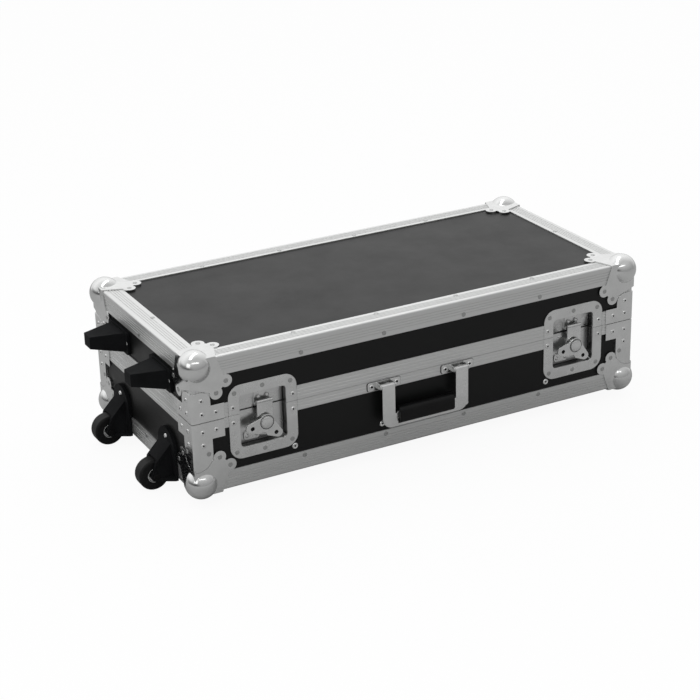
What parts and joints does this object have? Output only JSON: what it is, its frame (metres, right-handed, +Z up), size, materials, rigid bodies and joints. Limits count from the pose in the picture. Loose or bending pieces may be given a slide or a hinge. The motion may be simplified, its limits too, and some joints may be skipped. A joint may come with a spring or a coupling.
{
  "type": "cd trolley case",
  "caption": "Low flight case for compact discs with ball corners, butterfly latches, carrying handle, end castors and a pull-out trolley handle.",
  "frame": {"origin": "middle of the whole case's bounding box in plan, on the surface that the wheels and rubber feet stand on", "axes": "+X along the case from the castor end to the trolley handle end, +Y from the latch front to the hinged back, +Z up"},
  "size_m": [0.811, 0.381, 0.227],
  "materials": {
    "laminate": "fine-grained black laminate on plywood, satin",
    "plywood": "bare birch plywood",
    "profile": "natural anodised, fine grooves along its length",
    "steel": "bright zinc plated sheet",
    "rivet": "bright plated, small dark centres",
    "black_plastic": "moulded, soft sheen",
    "rubber": "black, satin",
    "foam": "dark grey foam"
  },
  "bodies": {
    "base": {"bottom_panel": "laminate", "base_front_wall": "laminate", "base_back_wall": "laminate", "base_wheel_end_wall": "laminate", "base_handle_end_wall": "laminate", "tray_floor": "plywood", "tray_battens": "plywood", "tray_long_divider": "laminate", "tray_cross_dividers": "laminate", "lane_foam": "foam", "base_angles": "profile", "base_rim": "profile", "base_corner_front_left": "steel", "base_corner_front_right": "steel", "base_corner_back_left": "steel", "base_corner_back_right": "steel", "base_braces": "steel", "base_rivets": "rivet", "tray_screws": "rivet", "left_latch_dish": "steel", "right_latch_dish": "steel", "handle_brackets": "steel", "front_castor_bracket": "black_plastic", "rear_castor_bracket": "black_plastic", "castor_axles": "steel", "rubber_feet": "rubber", "base_hinge_leaves": "steel", "hinge_pins": "steel", "trolley_guide_tubes": "profile", "trolley_end_plate": "black_plastic", "tube_cleat": "plywood"},
    "lid": {"lid_top_panel": "laminate", "lid_front_wall": "laminate", "lid_back_wall": "laminate", "lid_end_walls": "laminate", "lid_angles": "profile", "lid_rim": "profile", "lid_corner_front_left": "steel", "lid_corner_front_right": "steel", "lid_corner_back_left": "steel", "lid_corner_back_right": "steel", "lid_braces": "steel", "lid_rivets": "rivet", "latch_lid_dishes": "steel", "wedge_feet": "black_plastic", "lid_hinge_leaves": "steel", "lid_foam": "foam"},
    "left_wing": {"left_latch_wing": "steel"},
    "right_wing": {"right_latch_wing": "steel"},
    "left_hook": {"left_latch_hook": "steel"},
    "right_hook": {"right_latch_hook": "steel"},
    "carry_handle": {"handle_bail": "steel", "handle_grip": "rubber"},
    "front_wheel": {"front_wheel_hub": "steel", "front_wheel_tyre": "rubber"},
    "rear_wheel": {"rear_wheel_hub": "steel", "rear_wheel_tyre": "rubber"},
    "trolley_handle": {"trolley_rods": "steel", "trolley_grip": "black_plastic"},
    "release_button": {"trolley_button": "black_plastic"}
  },
  "joints": [
    {"name": "lid_hinge", "type": "hinge", "parent": "base", "child": "lid", "pos_m": [0.008, 0.185, 0.125], "axis": [-1, 0, 0], "range_deg": [0, 100]},
    {"name": "left_wing_turn", "type": "hinge", "parent": "base", "child": "left_wing", "pos_m": [-0.2447, -0.1695, 0.104], "axis": [0, -1, 0], "range_deg": [0, 180]},
    {"name": "right_wing_turn", "type": "hinge", "parent": "base", "child": "right_wing", "pos_m": [0.2687, -0.1695, 0.104], "axis": [0, -1, 0], "range_deg": [0, 180]},
    {"name": "left_hook_lift", "type": "slide", "parent": "base", "child": "left_hook", "axis": [0, 0, 1], "range_m": [0, 0.006]},
    {"name": "right_hook_lift", "type": "slide", "parent": "base", "child": "right_hook", "axis": [0, 0, 1], "range_m": [0, 0.006]},
    {"name": "handle_swing", "type": "hinge", "parent": "base", "child": "carry_handle", "pos_m": [0.001, -0.1805, 0.1185], "axis": [-1, 0, 0], "range_deg": [0, 100]},
    {"name": "front_wheel_spin", "type": "hinge", "parent": "base", "child": "front_wheel", "pos_m": [-0.383, -0.0789, 0.0225], "axis": [0, 1, 0], "continuous": true},
    {"name": "rear_wheel_spin", "type": "hinge", "parent": "base", "child": "rear_wheel", "pos_m": [-0.383, 0.0899, 0.0225], "axis": [0, 1, 0], "continuous": true},
    {"name": "trolley_slide", "type": "slide", "parent": "base", "child": "trolley_handle", "axis": [1, 0, 0], "range_m": [0, 0.3]},
    {"name": "button_press", "type": "slide", "parent": "trolley_handle", "child": "release_button", "axis": [-1, 0, 0], "range_m": [0, 0.004], "stiffness_N_per_m": 400}
  ],
  "couplings": [
    {"joint": "left_hook_lift", "follows": "left_wing_turn", "m_per_rad": 0.0019099},
    {"joint": "right_hook_lift", "follows": "right_wing_turn", "m_per_rad": 0.0019099}
  ]
}
